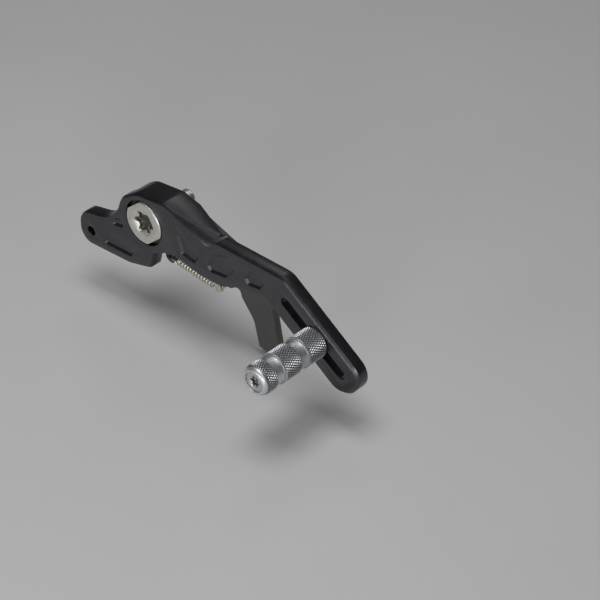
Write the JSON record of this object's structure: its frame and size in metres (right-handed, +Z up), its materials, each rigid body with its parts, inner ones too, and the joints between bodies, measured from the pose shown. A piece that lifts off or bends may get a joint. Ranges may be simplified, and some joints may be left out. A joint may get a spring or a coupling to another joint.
{
  "type": "rear brake pedal",
  "caption": "Motorbike rear brake pedal: a milled lever on a bushed pivot with a return spring, a fixed bracket and a knurled toe peg that slides along the slotted foot.",
  "frame": {"origin": "on the pivot axis, at the face of the chassis boss that the pedal is screwed to", "axes": "+X forward along the pedal at rest, +Y inboard along the pivot axis into the chassis, +Z up"},
  "size_m": [0.2131, 0.0843, 0.0839],
  "materials": {
    "black_anodised": "black hard-anodised, satin",
    "bronze": "plain bearing bronze",
    "seal_rubber": "smooth black rubber",
    "bright_steel": "zinc plated, satin",
    "pale_steel": "pale satin stainless",
    "black_steel": "black powder coat on steel",
    "spring_steel": "yellow passivated wire",
    "silver_aluminium": "silver anodised, knurled bands"
  },
  "bodies": {
    "mount": {"pivot_screw": "pale_steel", "pivot_sleeve": "bright_steel", "thrust_washer": "bright_steel", "spring_bracket": "black_steel", "spring_post": "bright_steel", "stop_pin": "bright_steel", "stop_buffer": "seal_rubber", "return_spring": "spring_steel"},
    "pedal": {"lever": "black_anodised", "outer_bush": "bronze", "inner_bush": "bronze", "outer_seal": "seal_rubber", "inner_seal": "seal_rubber"},
    "peg": {"toe_peg": "silver_aluminium", "peg_screw": "bright_steel", "slot_nut": "bright_steel"}
  },
  "joints": [
    {"name": "pedal_pivot", "type": "hinge", "parent": "mount", "child": "pedal", "pos_m": [0, 0, 0], "axis": [0, 1, 0], "range_deg": [0, 9], "stiffness_Nm_per_rad": 3, "springref_deg": -14.32, "deforming": ["return_spring"]},
    {"name": "peg_slide", "type": "slide", "parent": "pedal", "child": "peg", "axis": [0.8241, 0, -0.5664], "range_m": [-0.023, 0.0195]}
  ]
}
